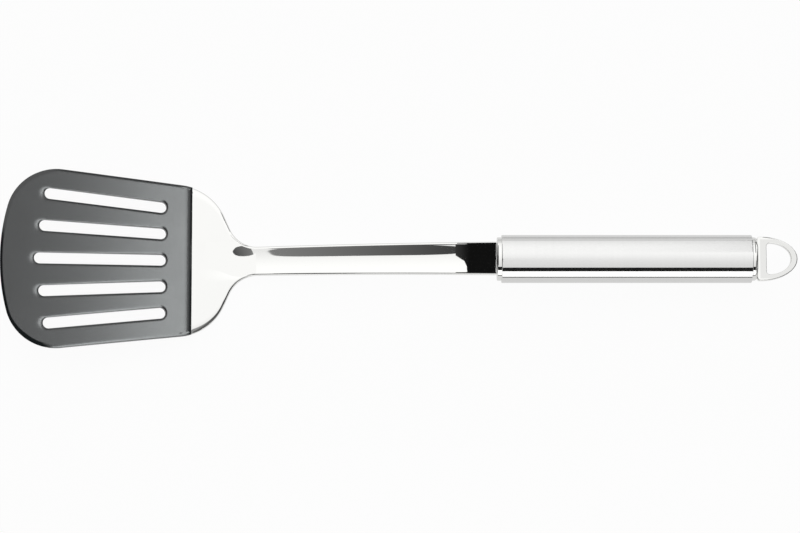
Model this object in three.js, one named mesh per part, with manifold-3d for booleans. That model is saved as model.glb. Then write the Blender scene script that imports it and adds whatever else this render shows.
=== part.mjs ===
// Slotted spatula: a nylon blade moulded on a stamped steel shank, a steel tube handle with a
// drawn cap in each end, and a flat loop to hang it by. Millimetres, +Z up.
// It lies as it does on a table: the handle level along +X, the heel of the shank on the table
// and the front edge of the blade raised. The origin is on the table, under the part's middle.

import * as THREE from 'three';
import { mergeVertices } from 'three/addons/utils/BufferGeometryUtils.js';
import Module from 'manifold-3d';

const degrees = Math.PI / 180;

// Handle tube and the caps in its ends
const tubeDiameter = 20;
const tubeWall = 0.8;
const tubeLength = 104;
const capFit = 0.15;
const capWall = 1;
const capSkirt = 9;
const capEdgeRadius = 0.9;
const frontCapReach = 1.9;
const rearCapReach = 2.2;

// Hanging loop, a flat plate with a D-shaped hole
const loopLength = 16.6;
const loopWidth = 18.4;
const loopThickness = 3;
const loopBar = 3.8;
const loopRim = 2.7;
const loopNose = 15.2;
const loopCorner = 1.2;
const loopEdgeRadius = 0.7;
const tenonWidth = 8;
const tenonReach = 4;

// Steel sheet, bent along its length
const sheet = 2;
const sheetEdgeRadius = 0.9;
const bladeAngle = 10 * degrees;
const heelRadius = 55;
const heelFlat = 7.8;
const shankRun = 110;
const shankLift = 1;

// Outline of the sheet, from the root of the blade to the end of the tang
const shoulderReach = 8;
const shoulderRadius = 22;
const neckReach = 19.3;
const neckWidth = 12;
const neckRadius = 13;
const capLedge = 2.05;
const tangWidth = 10;
const tangReach = 20;

// Shallow channel pressed along the shank
const channelDepth = 1;
const channelLead = 14;
const channelFade = 18;

// Tongue inside the nylon, with holes that the nylon fills
const tongueWall = 2;
const tongueSideWall = 4;
const lockHoleCount = 4;
const lockHoleDiameter = 4.4;

// Nylon blade
const bladeLength = 79.9;
const bladeFrontWidth = 80.4;
const bladeSideTaper = 6.35 * degrees;
const bladeFrontRadius = 85;
const bladeCornerRadius = 21;
const bladeSkin = 1;
const bladeTipThickness = 1.5;
const bladeEdgeRadius = 0.9;

// Slots, fanned out evenly up to the angle of the outermost
const slotCount = 5;
const slotWidth = 4.7;
const slotFan = 6 * degrees;
const slotRootMargin = 10.6;
const slotSideMargin = 8.2;
const slotFrontMargin = 14;
const slotFrontStep = 2;

// Clearances: round what passes through a piece, and between faces that seat on each other
const clearance = 0.3;
const seatGap = 0.3;

// Steps of the curved surfaces
const roundSegments = 48;
const arcSag = 0.04;
const bevelSegments = 2;
const edgeSteps = 3;
const acrossSteps = 10;
const shoulderStep = 1.6;
const shankStep = 5;
const slopeStep = 0.01;
const doubledPoint = 0.001;

const nylon = new THREE.MeshStandardMaterial({ color: 0x5b5e60, roughness: 0.42, metalness: 0 });
const polishedSteel = new THREE.MeshStandardMaterial({ color: 0xdcdcda, roughness: 0.1, metalness: 1 });
const satinSteel = new THREE.MeshStandardMaterial({ color: 0xd2d3d3, roughness: 0.28, metalness: 1 });

const wasm = await Module();
wasm.setup();

// Joins the shared corners of a closed geometry and drops the triangles that have no area.
function weld(geometry) {
  geometry.deleteAttribute('normal');
  geometry.deleteAttribute('uv');
  const welded = mergeVertices(geometry);
  const corners = welded.index.array;
  const kept = [];
  for (let i = 0; i < corners.length; i += 3) {
    const [a, b, c] = corners.slice(i, i + 3);
    if (a !== b && b !== c && c !== a) kept.push(a, b, c);
  }
  welded.setIndex(kept);
  return welded;
}

function toSolid(geometry) {
  const welded = weld(geometry);
  return new wasm.Manifold(new wasm.Mesh({
    numProp: 3,
    vertProperties: new Float32Array(welded.attributes.position.array),
    triVerts: new Uint32Array(welded.index.array),
  }));
}

function toGeometry(solid) {
  const mesh = solid.getMesh();
  const geometry = new THREE.BufferGeometry();
  geometry.setAttribute('position', new THREE.BufferAttribute(mesh.vertProperties, mesh.numProp));
  geometry.setIndex(new THREE.BufferAttribute(mesh.triVerts, 1));
  return geometry;
}

function piece(name, geometry, material) {
  const mesh = new THREE.Mesh(geometry, material);
  mesh.name = name;
  geometry.computeVertexNormals();
  return mesh;
}

// Turns a profile of (radius, distance along the axis) points round the X axis.
function revolve(profile) {
  return weld(new THREE.LatheGeometry(profile, roundSegments).rotateZ(-Math.PI / 2));
}

// Points along an arc of a circle or an ellipse, close enough that no chord strays from it by more than the sag.
function arc(x, y, radiusX, radiusY, from, to) {
  const step = 2 * Math.acos(1 - arcSag / Math.max(radiusX, radiusY));
  const count = Math.ceil(Math.abs(to - from) / step);
  return new THREE.EllipseCurve(x, y, radiusX, radiusY, from, to).getPoints(count);
}

// Extrudes an outline upwards, with its edges rounded inside the outline's own size.
function roundedPlate(outline, holes, thickness, edgeRadius) {
  const apart = (point, i, points) => point.distanceTo(points.at(i - 1)) > doubledPoint;
  const shape = new THREE.Shape(outline.filter(apart));
  shape.holes = holes.map((hole) => new THREE.Path(hole.filter(apart)));
  return new THREE.ExtrudeGeometry(shape, {
    depth: thickness - 2 * edgeRadius,
    bevelThickness: edgeRadius,
    bevelSize: edgeRadius,
    bevelOffset: -edgeRadius,
    bevelSegments,
  }).translate(0, 0, edgeRadius);
}

// Fillet between two straight runs of an outline: its centre, and the points where it starts and ends.
function fillet(before, corner, after, radius) {
  const arriving = corner.clone().sub(before).normalize();
  const leaving = after.clone().sub(corner).normalize();
  const turn = Math.atan2(arriving.cross(leaving), arriving.dot(leaving));
  const reach = radius * Math.tan(Math.abs(turn) / 2);
  const start = corner.clone().addScaledVector(arriving, -reach);
  const end = corner.clone().addScaledVector(leaving, reach);
  const inward = new THREE.Vector2(-arriving.y, arriving.x).multiplyScalar(Math.sign(turn));
  const centre = start.clone().addScaledVector(inward, radius);
  return { centre, radius, start, end };
}

// Lengths along the sheet, from the front edge of the blade
const capRadius = tubeDiameter / 2 - tubeWall - capFit;
const axisHeight = tubeDiameter / 2;
const shankRise = axisHeight + shankLift - sheet / 2;
const riseAngle = 2 * Math.atan(shankRise / shankRun);
const shankRadius = shankRun / Math.sin(riseAngle) - heelRadius;
const heelStart = bladeLength + heelFlat;
const heelEnd = heelStart + heelRadius * (bladeAngle + riseAngle);
const shankEnd = heelEnd + shankRadius * riseAngle;
const lowestX = -shankRun;

// Half the outline's width, seen flat: the blade's side, the shoulder, the neck and the shank
function sideHalfWidth(along) {
  return bladeFrontWidth / 2 - along * Math.tan(bladeSideTaper);
}

const bladeRootHalfWidth = sideHalfWidth(bladeLength);
const shoulderAlong = bladeLength + shoulderReach;
const sideStart = new THREE.Vector2(0, sideHalfWidth(0));
const shoulderCorner = new THREE.Vector2(shoulderAlong, sideHalfWidth(shoulderAlong));
const neckCorner = new THREE.Vector2(bladeLength + neckReach, neckWidth / 2);
const shankCorner = new THREE.Vector2(shankEnd, capRadius - capLedge);
const shoulder = fillet(sideStart, shoulderCorner, neckCorner, shoulderRadius);
const neck = fillet(shoulderCorner, neckCorner, shankCorner, neckRadius);

function onLine(from, to, along) {
  return from.y + (to.y - from.y) * (along - from.x) / (to.x - from.x);
}

function onArc(arc, along, side) {
  return arc.centre.y + side * Math.sqrt(arc.radius ** 2 - (along - arc.centre.x) ** 2);
}

function halfWidth(along) {
  if (along < shoulder.start.x) return sideHalfWidth(along);
  if (along < shoulder.end.x) return onArc(shoulder, along, 1);
  if (along < neck.start.x) return onLine(shoulder.end, neck.start, along);
  if (along < neck.end.x) return onArc(neck, along, -1);
  return onLine(neck.end, shankCorner, along);
}

// Cosine of the angle between the outline and the sheet's length
function outlineCosine(along) {
  const change = halfWidth(along + slopeStep) - halfWidth(along - slopeStep);
  return 1 / Math.hypot(1, change / (2 * slopeStep));
}

// Middle of the bent sheet at a length along it, with its slope: blade, heel, shank and tang
function bentPath(along) {
  const heelStartX = lowestX - heelRadius * Math.sin(bladeAngle);
  const heelStartZ = sheet / 2 + heelRadius * (1 - Math.cos(bladeAngle));
  if (along < heelStart) {
    const back = heelStart - along;
    return {
      x: heelStartX - back * Math.cos(bladeAngle),
      z: heelStartZ + back * Math.sin(bladeAngle),
      slope: -bladeAngle,
    };
  }
  if (along < heelEnd) {
    const slope = (along - heelStart) / heelRadius - bladeAngle;
    return {
      x: lowestX + heelRadius * Math.sin(slope),
      z: sheet / 2 + heelRadius * (1 - Math.cos(slope)),
      slope,
    };
  }
  if (along < shankEnd) {
    const slope = (shankEnd - along) / shankRadius;
    return {
      x: -shankRadius * Math.sin(slope),
      z: axisHeight + shankLift - shankRadius * (1 - Math.cos(slope)),
      slope,
    };
  }
  return { x: along - shankEnd, z: axisHeight + shankLift, slope: 0 };
}

function straightPath(along) {
  return { x: along, z: 0, slope: 0 };
}

// Points round a cross-section of the sheet, as offsets across (y) and up (z): rounded edges, and
// a channel that lifts the edges above the middle.
function sheetSection(half, thickness, cosine, channel) {
  const radius = Math.min(sheetEdgeRadius, thickness / 2);
  const upper = [];
  for (let i = 0; i < edgeSteps; i++) {
    const angle = (i / edgeSteps) * Math.PI / 2;
    const inset = radius * (1 - Math.cos(angle)) / cosine;
    upper.push([half - inset, thickness / 2 - radius * (1 - Math.sin(angle))]);
  }
  const flatHalf = half - radius / cosine;
  for (let i = 0; i <= acrossSteps; i++) {
    upper.push([flatHalf * (1 - 2 * i / acrossSteps), thickness / 2]);
  }
  for (let i = edgeSteps - 1; i >= 0; i--) upper.push([-upper[i][0], upper[i][1]]);
  const lower = upper.map(([y, z]) => [-y, -z]);
  return [...upper, ...lower].map(([y, z]) => [y, z + channel * (y / half) ** 2]);
}

// Lofts the sheet through its stations: each has a length along the path and a cross-section.
function loftSheet(stations, path) {
  const positions = [];
  for (const { along, section } of stations) {
    const { x, z, slope } = path(along);
    for (const [across, up] of section) {
      positions.push(x - up * Math.sin(slope), across, z + up * Math.cos(slope));
    }
  }
  const ring = stations[0].section.length;
  const last = (stations.length - 1) * ring;
  const corners = [];
  for (let start = 0; start < last; start += ring) {
    for (let i = 0; i < ring; i++) {
      const here = start + i;
      const next = start + (i + 1) % ring;
      corners.push(here, next, here + ring, next, next + ring, here + ring);
    }
  }
  // Each end is closed by strips from its upper to its lower edge.
  const half = ring / 2;
  for (let i = 0; i < half - 1; i++) {
    const [a, b, c, d] = [i, i + 1, ring - 2 - i, ring - 1 - i];
    corners.push(a, d, b, b, d, c);
    corners.push(last + a, last + b, last + d, last + b, last + c, last + d);
  }
  const geometry = new THREE.BufferGeometry();
  geometry.setAttribute('position', new THREE.Float32BufferAttribute(positions, 3));
  geometry.setIndex(corners);
  return geometry;
}

// Tongue of the sheet, grown by a margin on every side, with its lock holes shrunk by the same.
const tongueReach = slotRootMargin - tongueWall;
const tongueHalfWidth = bladeRootHalfWidth - tongueSideWall;

function tongueSection(margin) {
  return sheetSection(tongueHalfWidth + margin, sheet + 2 * margin, 1, 0);
}

function cutLockHoles(solid, margin, path) {
  const middle = path(bladeLength - tongueReach / 2);
  const pitch = 2 * tongueHalfWidth / lockHoleCount;
  const radius = lockHoleDiameter / 2 - margin;
  const depth = 4 * (sheet + bladeSkin);
  let cut = solid;
  for (let i = 0; i < lockHoleCount; i++) {
    const hole = new THREE.CylinderGeometry(radius, radius, depth, roundSegments / 2)
      .rotateX(Math.PI / 2)
      .rotateY(-middle.slope)
      .translate(middle.x, (i - (lockHoleCount - 1) / 2) * pitch, middle.z);
    cut = cut.subtract(toSolid(hole));
  }
  return cut;
}

function steelShank() {
  const stations = [];
  const add = (along, section) => stations.push({ along, section });
  const channel = (along) => channelDepth
    * THREE.MathUtils.smoothstep(along, neck.start.x, neck.start.x + channelLead)
    * (1 - THREE.MathUtils.smoothstep(along, shankEnd - channelFade, shankEnd - seatGap));
  const outline = (along) => (
    add(along, sheetSection(halfWidth(along), sheet, outlineCosine(along), channel(along)))
  );

  const shoulderFront = bladeLength + seatGap;
  const shankBack = shankEnd - seatGap;
  add(bladeLength - tongueReach, tongueSection(0));
  add(shoulderFront, tongueSection(0));
  let along = shoulderFront;
  while (along < shankBack - shankStep / 2) {
    outline(along);
    along += (along < neck.end.x ? shoulderStep : shankStep) * outlineCosine(along);
  }
  outline(shankBack);
  const tang = sheetSection(tangWidth / 2, sheet, 1, 0);
  add(shankBack, tang);
  add(shankEnd + tangReach, tang);
  return toGeometry(cutLockHoles(toSolid(loftSheet(stations, bentPath)), 0, bentPath));
}

// Outline of the blade, seen flat: one side from the root to the middle of the front edge, then its mirror image
function bladeOutline() {
  const sideAngle = Math.PI / 2 - bladeSideTaper;
  const rootAngle = Math.acos((bladeLength - shoulder.centre.x) / shoulderRadius);

  // The corner's circle touches the side line and, from inside, the circle of the front edge.
  const tangent = Math.tan(bladeSideTaper);
  const sideOffset = bladeFrontWidth / 2 - bladeCornerRadius / Math.cos(bladeSideTaper);
  const square = 1 + tangent ** 2;
  const linear = bladeFrontRadius + sideOffset * tangent;
  const constant = bladeFrontRadius ** 2 + sideOffset ** 2 - (bladeFrontRadius - bladeCornerRadius) ** 2;
  const cornerX = (linear - Math.sqrt(linear ** 2 - square * constant)) / square;
  const cornerY = sideOffset - tangent * cornerX;
  const frontAngle = Math.atan2(cornerY, cornerX - bladeFrontRadius);

  const side = [
    ...arc(shoulder.centre.x, shoulder.centre.y, shoulderRadius, shoulderRadius, rootAngle, sideAngle),
    ...arc(cornerX, cornerY, bladeCornerRadius, bladeCornerRadius, sideAngle, frontAngle),
    ...arc(bladeFrontRadius, 0, bladeFrontRadius, bladeFrontRadius, frontAngle, Math.PI),
  ];
  const mirrored = side.map((point) => new THREE.Vector2(point.x, -point.y)).reverse();
  return [...side, ...mirrored];
}

// Slots, evenly spaced across the blade at their root ends and fanned out towards the front
function slotOutlines() {
  const radius = slotWidth / 2;
  const rootX = bladeLength - slotRootMargin - radius;
  const outermost = (slotCount - 1) / 2;
  const pitch = (sideHalfWidth(rootX) - slotSideMargin - radius) / outermost;
  return Array.from({ length: slotCount }, (_, i) => {
    const place = i - outermost;
    const fan = slotFan * place / outermost;
    const frontX = slotFrontMargin + slotFrontStep * Math.abs(place) + radius;
    const rootY = place * pitch;
    const frontY = rootY + (rootX - frontX) * Math.tan(fan);
    return [
      ...arc(frontX, frontY, radius, radius, Math.PI / 2 - fan, 3 * Math.PI / 2 - fan),
      ...arc(rootX, rootY, radius, radius, -Math.PI / 2 - fan, Math.PI / 2 - fan),
    ];
  });
}

// The blade is a wedge with a flat underside, in a frame whose level plane is the steel's middle.
function slottedBlade() {
  const rootThickness = sheet + 2 * bladeSkin;
  const wedge = roundedPlate(bladeOutline(), slotOutlines(), rootThickness, bladeEdgeRadius);
  const position = wedge.attributes.position;
  for (let i = 0; i < position.count; i++) {
    const share = position.getX(i) / bladeLength;
    const thickness = bladeTipThickness + (rootThickness - bladeTipThickness) * share;
    position.setZ(i, position.getZ(i) * thickness / rootThickness - rootThickness / 2);
  }
  const pocketStations = [bladeLength - tongueReach - clearance, bladeLength + shoulderReach]
    .map((along) => ({ along, section: tongueSection(clearance) }));
  const pocket = cutLockHoles(toSolid(loftSheet(pocketStations, straightPath)), clearance, straightPath);
  return toGeometry(toSolid(wedge).subtract(pocket));
}

function handleTube() {
  const outer = tubeDiameter / 2;
  const inner = outer - tubeWall;
  return revolve([
    new THREE.Vector2(inner, 0),
    new THREE.Vector2(outer, 0),
    new THREE.Vector2(outer, tubeLength),
    new THREE.Vector2(inner, tubeLength),
    new THREE.Vector2(inner, 0),
  ]);
}

// A drawn cap with its face at X = 0 and its skirt along +X, and a slot through the face.
function slottedCap(reach, slotAcross, slotHeight, slotLift) {
  const depth = reach + capSkirt;
  const profile = [new THREE.Vector2(0, 0)];
  for (let i = 0; i <= edgeSteps; i++) {
    const angle = (i / edgeSteps) * Math.PI / 2;
    profile.push(new THREE.Vector2(
      capRadius - capEdgeRadius * (1 - Math.sin(angle)),
      capEdgeRadius * (1 - Math.cos(angle)),
    ));
  }
  profile.push(new THREE.Vector2(capRadius, depth));
  profile.push(new THREE.Vector2(capRadius - capWall, depth));
  profile.push(new THREE.Vector2(capRadius - capWall, capWall));
  profile.push(new THREE.Vector2(0, capWall));
  const slot = new THREE.BoxGeometry(4 * capWall, slotAcross + 2 * clearance, slotHeight + 2 * clearance)
    .translate(0, 0, slotLift);
  return toGeometry(toSolid(revolve(profile)).subtract(toSolid(slot)));
}

// The loop lies flat, with its base on X = 0 and its tenon behind that, along -X.
function hangingLoop() {
  const half = loopWidth / 2;
  const holeHalf = half - loopRim;
  const holeStart = loopBar + loopCorner;
  const holeNose = loopLength - loopRim - holeStart;
  const ring = (start, corner, across, noseStart, nose) => [
    ...arc(start + corner, corner - across, corner, corner, Math.PI, 3 * Math.PI / 2),
    ...arc(noseStart, 0, nose, across, -Math.PI / 2, Math.PI / 2),
    ...arc(start + corner, across - corner, corner, corner, Math.PI / 2, Math.PI),
  ];
  const tenon = [[0, 1], [-tenonReach, 1], [-tenonReach, -1], [0, -1]]
    .map(([x, side]) => new THREE.Vector2(x, side * tenonWidth / 2));
  const outline = [...ring(0, loopCorner, half, loopLength - loopNose, loopNose), ...tenon];
  const hole = ring(loopBar, loopCorner, holeHalf, holeStart, holeNose);
  return weld(roundedPlate(outline, [hole], loopThickness, loopEdgeRadius).translate(0, 0, -loopThickness / 2));
}

// Assembly: the front cap's face is at X = 0, and the table is at Z = 0.
const spatula = new THREE.Group();
spatula.add(piece('steel_shank', steelShank(), polishedSteel));

const bladeGroup = new THREE.Group();
const bladeFront = bentPath(0);
bladeGroup.rotation.y = bladeAngle;
bladeGroup.position.set(bladeFront.x, 0, bladeFront.z);
bladeGroup.add(piece('slotted_blade', slottedBlade(), nylon));
spatula.add(bladeGroup);

const handle = new THREE.Group();
handle.position.z = axisHeight;
spatula.add(handle);

const frontCap = piece('front_cap', slottedCap(frontCapReach, tangWidth, sheet, shankLift), polishedSteel);
handle.add(frontCap);

const tube = piece('handle_tube', handleTube(), satinSteel);
tube.position.x = frontCapReach;
handle.add(tube);

const rearCap = piece('rear_cap', slottedCap(rearCapReach, tenonWidth, loopThickness, 0), polishedSteel);
rearCap.rotation.z = Math.PI;
rearCap.position.x = frontCapReach + tubeLength + rearCapReach;
handle.add(rearCap);

const loop = piece('hanging_loop', hangingLoop(), polishedSteel);
loop.position.x = rearCap.position.x + seatGap;
handle.add(loop);

// The origin goes under the middle of the part, on the table.
const part = new THREE.Group();
part.add(spatula);
const box = new THREE.Box3().setFromObject(part, true);
spatula.position.set(-(box.min.x + box.max.x) / 2, 0, -box.min.z);

export default part;
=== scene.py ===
"""Slotted spatula: a nylon blade on a polished steel shank, with a satin tube handle and a loop.

The shapes follow the packed CAD model, with finer steps, rounder edges and the real finishes.
"""

import math

import bmesh
import bpy
from bpy.props import FloatProperty, FloatVectorProperty, IntProperty, PointerProperty
from bpy.types import Operator, Panel, PropertyGroup
from mathutils import Matrix, Vector
from mathutils.geometry import interpolate_bezier


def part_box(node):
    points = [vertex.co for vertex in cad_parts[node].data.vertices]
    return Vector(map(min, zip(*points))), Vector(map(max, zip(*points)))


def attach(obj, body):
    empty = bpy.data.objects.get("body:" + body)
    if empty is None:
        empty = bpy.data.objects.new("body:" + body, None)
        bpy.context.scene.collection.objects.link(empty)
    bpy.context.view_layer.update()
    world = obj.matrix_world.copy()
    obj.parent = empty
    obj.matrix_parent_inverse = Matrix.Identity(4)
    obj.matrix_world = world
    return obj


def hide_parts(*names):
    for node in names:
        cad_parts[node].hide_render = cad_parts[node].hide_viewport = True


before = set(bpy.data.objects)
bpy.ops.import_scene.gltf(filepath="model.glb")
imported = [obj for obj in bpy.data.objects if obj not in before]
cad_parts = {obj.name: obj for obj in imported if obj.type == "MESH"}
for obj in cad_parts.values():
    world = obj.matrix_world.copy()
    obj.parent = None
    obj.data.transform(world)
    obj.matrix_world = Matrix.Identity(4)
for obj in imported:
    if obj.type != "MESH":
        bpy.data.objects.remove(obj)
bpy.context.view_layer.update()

bl_info = {
    "name": "Slotted Spatula",
    "version": (1, 0, 0),
    "blender": (4, 5, 0),
    "location": "View3D > Sidebar > Spatula",
    "description": "Builds the looks of a slotted spatula around its CAD frame",
    "category": "Add Mesh",
}

MM = 0.001
HALF_TURN = math.pi
QUARTER_TURN = math.pi / 2
CAP_FACE_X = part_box("front_cap")[0].x

# Fineness of the shapes: counts of steps, and distances between points
MERGE_DISTANCE = 0.002 * MM
SHARP_ANGLE = math.radians(50)
ROUND_STEPS = 144
EDGE_STEPS = 8
CROWN_STRIPS = 32
ACROSS_STEPS = 40
FRONT_STEPS = 3
TUBE_STEPS = 40
BEND_POINTS = 16
SLOT_POINTS = 48
SLOT_SPACING = 0.7 * MM
OUTLINE_STEP = 0.8 * MM
LOOP_STEP = 0.25 * MM
STATION_STEP = 0.7 * MM
SLOPE_STEP = 0.01 * MM

# Flat strips that keep the shading of the roundings off the flat faces: a share of a rim, or metres
RIM_SUPPORT = 0.2
EDGE_SUPPORT = 0.15 * MM
CAP_SUPPORT = 0.3 * MM

# Forms of the roundings: 1 is an ellipse, more is closer to a straight bevel and less is squarer
LIP_BEVEL = 2.0
ROOT_BEVEL = 0.75

# How much the outline's normal points to the front where the lip begins and is full, and where it narrows
LIP_FACING = (0.02, 0.3)
LIP_MIDDLE = (0.6, 0.95)

# Width of the channel's level edge, as a share of its half width
CHANNEL_BLEND = 0.35

# Radius at which the UV map round the handle is true to size
UV_RADIUS = 10 * MM


def linear(hex_colour):
    """An sRGB hex colour as linear red, green, blue and alpha."""
    channels = [int(hex_colour[i:i + 2], 16) / 255 for i in (0, 2, 4)]
    return [c / 12.92 if c <= 0.04045 else ((c + 0.055) / 1.055) ** 2.4 for c in channels] + [1.0]


def length(name, description, millimetres):
    return FloatProperty(
        name=name, description=description, default=millimetres * MM, unit="LENGTH", precision=5
    )


def angle(name, description, degrees):
    return FloatProperty(
        name=name, description=description, default=math.radians(degrees), subtype="ANGLE"
    )


def colour(name, description, hex_colour):
    return FloatVectorProperty(
        name=name, description=description, default=linear(hex_colour), subtype="COLOR", size=4,
        min=0.0, max=1.0,
    )


class BladeSizes(PropertyGroup):
    """Sizes of the nylon blade and its slots."""

    length: length("Length", "From the front edge to the root, along the blade", 79.9)
    front_width: length("Front width", "Between the side lines at the front edge", 80.398)
    side_taper: angle("Side taper", "Angle of each side to the middle line", 6.35)
    front_radius: length("Front radius", "Radius of the front edge", 85)
    corner_radius: length("Corner radius", "Radius of the two front corners", 21)
    root_thickness: length("Root thickness", "Thickness where the steel comes out", 4)
    tip_thickness: length("Tip thickness", "Thickness at the front edge", 1.5)
    crown: FloatProperty(
        name="Crown", description="How much the top bulges above a straight wedge",
        default=1.8, min=1.0, max=3.0,
    )
    tilt: angle("Tilt", "How far the front edge is raised from the table", 10)
    edge_depth: length("Edge depth", "Depth of the rounding along the sides, at the root", 0.9)
    root_depth: length("Root depth", "Depth of the rounding along the root", 0.9)
    root_inset: length("Root inset", "How far the visible root lies in front of the blade's end", 0.25)
    lip_angle: angle("Lip angle", "Slope of the bevelled lip along the front edge", 32)
    side_rim: length("Side rim", "Width of the rounding along the sides", 1.5)
    slot_rim: length("Slot rim", "Width of the rounding along the slots", 1.3)
    slot_front_rim: length("Slot front rim", "Width of the rounding at the slots' front ends", 3.8)
    slot_root_rim: length("Slot root rim", "Width of the rounding at the slots' root ends", 0.8)
    slot_depth: length("Slot rim depth", "Depth of the rounding along the slots", 0.6)
    lip_rim: length("Lip width", "Width of the bevelled lip at the front corners", 1.8)
    lip_front_rim: length("Lip front width", "Width of the bevelled lip in the middle of the front", 1.25)
    root_rim: length("Root rim", "Width of the rounding along the root", 5)
    slot_count: IntProperty(name="Slots", description="Number of slots", default=5, min=3, max=9)
    slot_width: length("Slot width", "Width of each slot", 4.7)
    slot_fan: angle("Slot fan", "Angle of the outermost slots to the middle line", 6)
    slot_root_margin: length("Slot root margin", "From the root to the slots", 11.1)
    slot_side_margin: length("Slot side margin", "From the side to the outermost slot", 8.2)
    slot_front_margin: length("Slot front margin", "From the front to the middle slot", 14)
    slot_front_step: length("Slot front step", "How much shorter each slot is than the one inside it", 2)


class ShankSizes(PropertyGroup):
    """Sizes of the stamped steel shank."""

    sheet: length("Sheet", "Thickness of the steel sheet", 2)
    upper_drop: length("Upper edge drop", "Depth of the rounding along the upper edges", 1.25)
    lower_drop: length("Lower edge drop", "Depth of the rounding along the lower edges", 0.55)
    edge_reach: length("Edge reach", "Width of the rounded edges along the shank", 1.1)
    bell_edge_reach: length("Bell edge reach", "Width of the rounded edges beside the blade", 3.6)
    front_edge: length("Front edge", "Radius of the edge inside the nylon", 0.3)
    heel_radius: length("Heel radius", "Radius of the bend at the heel", 55)
    heel_flat: length("Heel flat", "Flat run between the blade and the heel", 7.8)
    run: length("Run", "From the lowest point of the heel to the front cap", 110)
    lift: length("Lift", "Height of the tang above the tube's middle line", 1)
    shoulder_reach: length("Shoulder reach", "From the blade to the corner of the shoulder", 8)
    shoulder_radius: length("Shoulder radius", "Radius of the shoulder", 22)
    neck_reach: length("Neck reach", "From the blade to the corner of the neck", 19.3)
    neck_width: length("Neck width", "Width at the corner of the neck", 12)
    neck_radius: length("Neck radius", "Radius of the neck", 13)
    end_width: length("End width", "Width at the front cap", 14)
    tang_width: length("Tang width", "Width inside the handle", 10)
    tang_reach: length("Tang reach", "Length inside the handle", 20)
    tongue_reach: length("Tongue reach", "Length inside the nylon", 8.6)
    tongue_wall: length("Tongue wall", "Nylon beside the tongue", 4)
    seat: length("Seat", "How far the shoulder's front edge lies in front of the blade's end", 0.55)
    channel_depth: length("Channel depth", "Depth of the pressed channel", 1)
    channel_width: length("Channel width", "Width of the channel where the sheet is wider", 12.6)
    channel_start: length("Channel start", "From the blade to the beginning of the channel", 0.1)
    channel_lead: length("Channel lead", "Length over which the channel begins", 27)


class HandleSizes(PropertyGroup):
    """Sizes of the handle tube, its caps and the hanging loop."""

    tube_diameter: length("Tube diameter", "Outside diameter of the tube", 20)
    tube_wall: length("Tube wall", "Wall of the tube", 0.8)
    tube_length: length("Tube length", "Length of the tube", 104)
    tube_lip: length("Tube lip", "Radius of the tube's end edges", 0.25)
    cap_diameter: length("Cap diameter", "Outside diameter of the caps", 18.1)
    cap_wall: length("Cap wall", "Wall of the caps", 1)
    cap_skirt: length("Cap skirt", "Length of the caps inside the tube", 9)
    front_cap_edge: length("Front cap edge", "Radius of the front cap's edge", 0.4)
    rear_cap_edge: length("Rear cap edge", "Radius of the rear cap's edge", 1.2)
    front_reach: length("Front cap reach", "How far the front cap stands out", 1.9)
    rear_reach: length("Rear cap reach", "How far the rear cap stands out", 2.2)
    loop_length: length("Loop length", "From the rear cap to the end of the loop", 16.88)
    loop_width: length("Loop width", "Width of the loop", 18.4)
    loop_thickness: length("Loop thickness", "Thickness of the loop", 3)
    loop_bar: length("Loop bar", "Width of the bar at the loop's base", 4.08)
    loop_rim: length("Loop rim", "Width of the loop round its hole", 2.7)
    loop_nose: length("Loop nose", "Length of the loop's rounded end", 15.2)
    loop_corner: length("Loop corner", "Radius of the loop's base corners", 1.2)
    loop_edge: length("Loop edge", "Width of the loop's rounded edges", 0.55)
    loop_drop: length("Loop edge drop", "Depth of the loop's rounded edges", 0.5)
    tenon_width: length("Tenon width", "Width of the loop's tenon", 8)
    tenon_reach: length("Tenon reach", "Length of the tenon inside the rear cap", 4)
    seat_gap: length("Loop gap", "Gap between the loop and the rear cap", 0.02)


class FinishColours(PropertyGroup):
    """Colours of the finishes."""

    nylon: colour("Nylon", "Near-black grey of the moulded nylon", "0E1011")
    nylon_pale: colour("Pale nylon", "Lighter cloud in the nylon", "131617")
    polished: colour("Polished steel", "Tint of the mirror polish", "EBEBE9")
    satin: colour("Satin steel", "Tint of the tube's satin finish", "E7E7E6")
    satin_line: colour("Satin line", "Tint of the darker belt lines", "DFDFDE")
    floor: colour("Floor", "Colour of the table", "F7F7F7")


# Helpers


def add_node(tree, kind, inputs=(), **settings):
    """Adds a node with its settings and links.

    Its inputs come by name or in order. Each is a value, a socket, or a node, for its first output.
    """
    node = tree.nodes.new(kind)
    for name, value in settings.items():
        setattr(node, name, value)
    for key, value in inputs.items() if isinstance(inputs, dict) else enumerate(inputs):
        if isinstance(value, bpy.types.Node):
            value = value.outputs[0]
        if isinstance(value, bpy.types.NodeSocket):
            tree.links.new(value, node.inputs[key])
        else:
            node.inputs[key].default_value = value
    return node


def node_group(name, sockets, result):
    """New geometry node tree: its input sockets come as names by kind, and it has one output."""
    tree = bpy.data.node_groups.new(name, "GeometryNodeTree")
    for kind, names in sockets.items():
        for socket in names:
            tree.interface.new_socket(socket, in_out="INPUT", socket_type=f"NodeSocket{kind}")
    tree.interface.new_socket(result, in_out="OUTPUT", socket_type="NodeSocketGeometry")
    return tree, add_node(tree, "NodeGroupInput").outputs


def finish_group(tree, geometry, given, result):
    """Realizes the geometry, sets its material and ends the tree."""
    real = add_node(tree, "GeometryNodeRealizeInstances", {"Geometry": geometry})
    painted = add_node(tree, "GeometryNodeSetMaterial", {"Geometry": real, "Material": given["Material"]})
    add_node(tree, "NodeGroupOutput", {result: painted})


def smoothstep(value, low, high):
    share = min(max((value - low) / (high - low), 0.0), 1.0)
    return share * share * (3 - 2 * share)


def new_mesh(name, points, faces, edges=()):
    mesh = bpy.data.meshes.new(name)
    mesh.from_pydata(points, edges, faces)
    return mesh


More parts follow.
